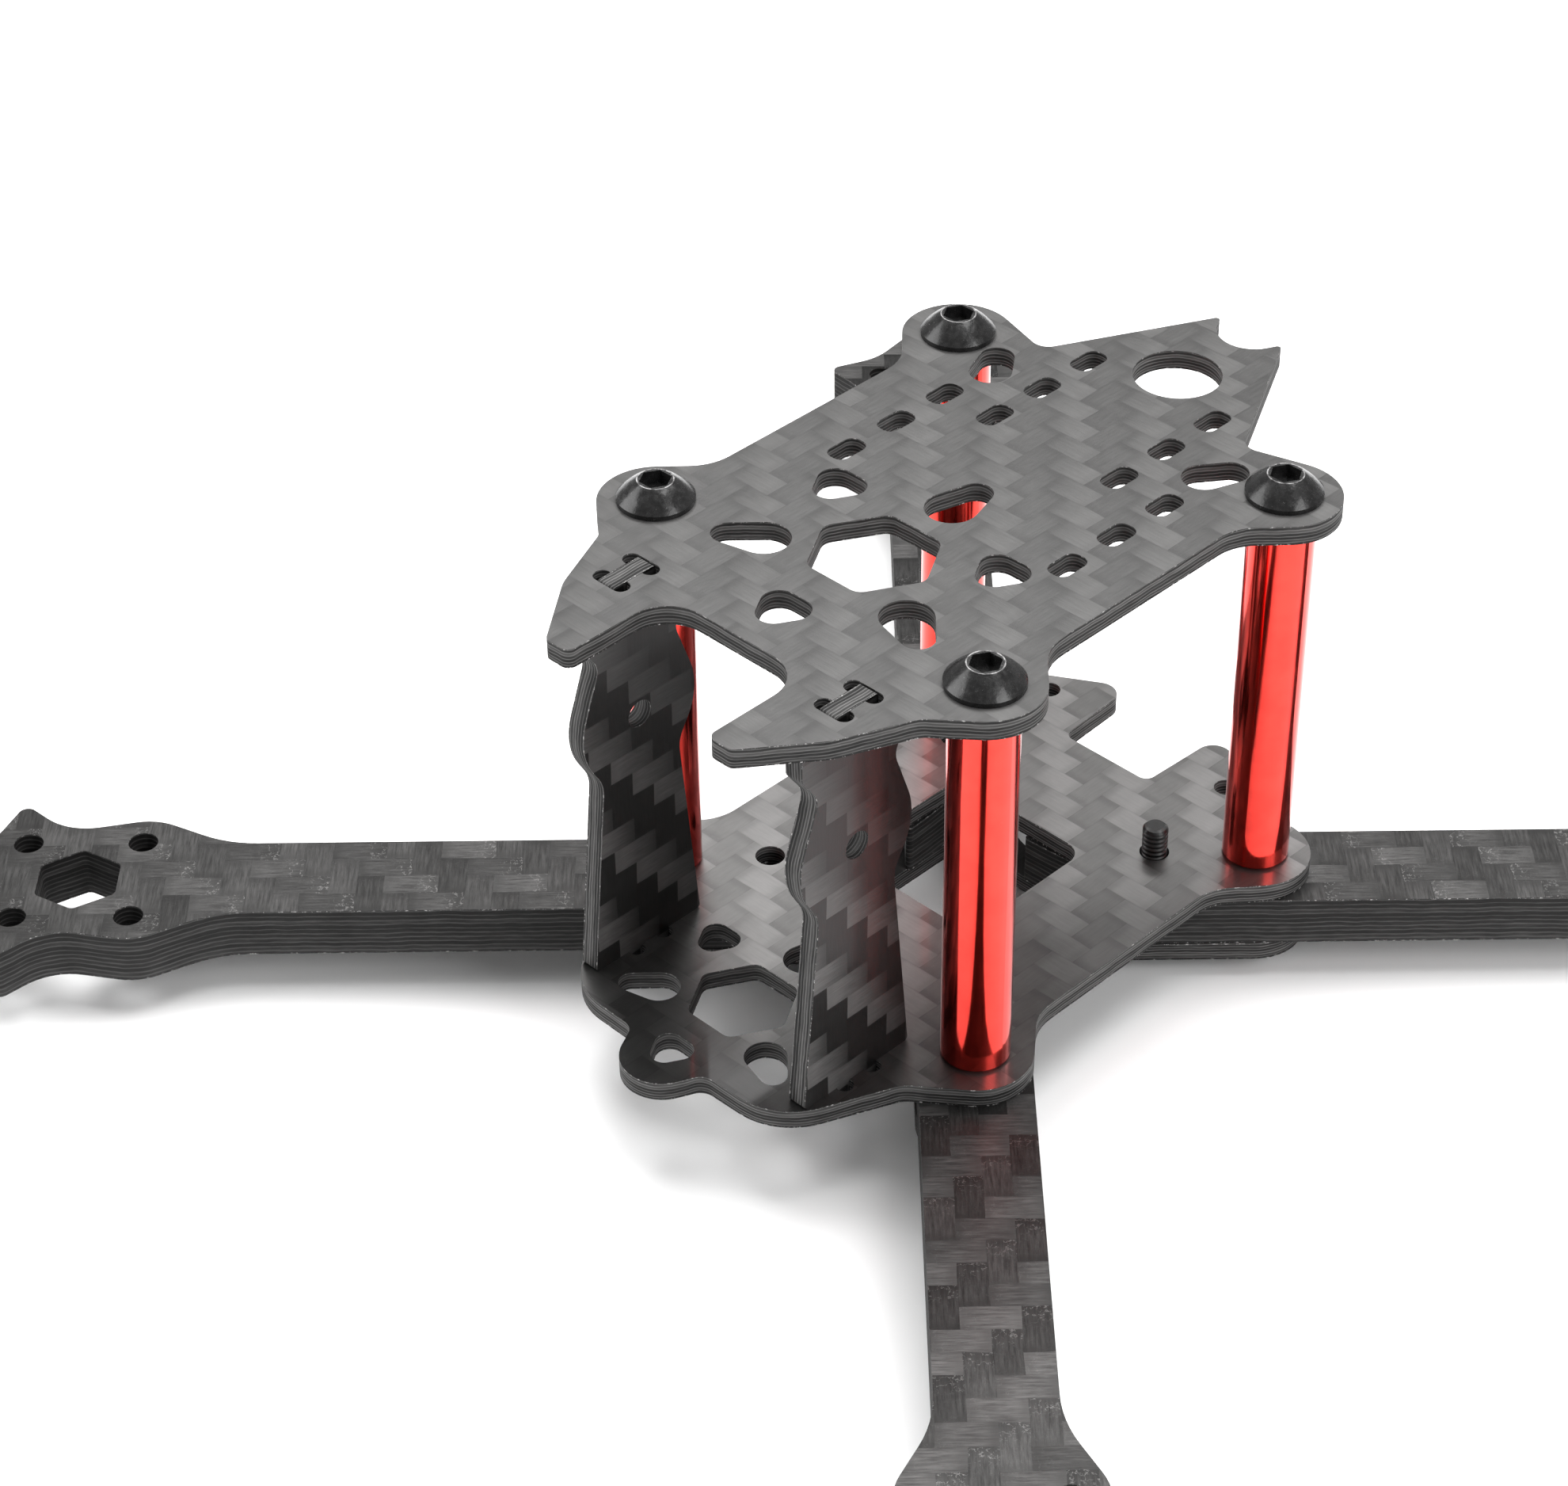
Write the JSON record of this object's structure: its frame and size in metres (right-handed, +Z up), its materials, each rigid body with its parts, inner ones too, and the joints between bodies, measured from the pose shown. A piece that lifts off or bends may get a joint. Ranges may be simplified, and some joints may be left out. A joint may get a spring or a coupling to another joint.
{
  "type": "racing drone airframe",
  "caption": "Bare airframe of a small FPV racing quadcopter: bolted carbon plates and arms, round standoffs, upright camera plates and open motor mounts.",
  "frame": {"origin": "on the floor, in the middle of the square of four standoffs", "axes": "+Z up, -Y towards the front (camera end), +X to the airframe's left"},
  "size_m": [0.1112, 0.1112, 0.0418],
  "materials": {
    "top_plate": "satin carbon-fibre twill laminate",
    "base_plate": "satin carbon-fibre twill laminate",
    "lower_plate": "satin carbon-fibre twill laminate",
    "arm": "satin carbon-fibre twill laminate, lightly scuffed",
    "camera_plate": "glossier carbon-fibre twill laminate",
    "standoff": "polished red anodised aluminium",
    "screw": "glossy black oxide steel",
    "stack_screw": "dull black oxide steel"
  },
  "bodies": {
    "root": {"top_plate": "top_plate", "base_plate": "base_plate", "lower_plate": "lower_plate", "arm_front_left": "arm", "arm_front_right": "arm", "arm_rear_left": "arm", "arm_rear_right": "arm", "camera_plate_left": "camera_plate", "camera_plate_right": "camera_plate", "standoff_front_left": "standoff", "standoff_front_right": "standoff", "standoff_rear_left": "standoff", "standoff_rear_right": "standoff", "top_screw_front_left": "screw", "top_screw_front_right": "screw", "top_screw_rear_left": "screw", "top_screw_rear_right": "screw", "bottom_screw_front_left": "screw", "bottom_screw_front_right": "screw", "bottom_screw_rear_left": "screw", "bottom_screw_rear_right": "screw", "stack_screw": "stack_screw"}
  },
  "joints": []
}
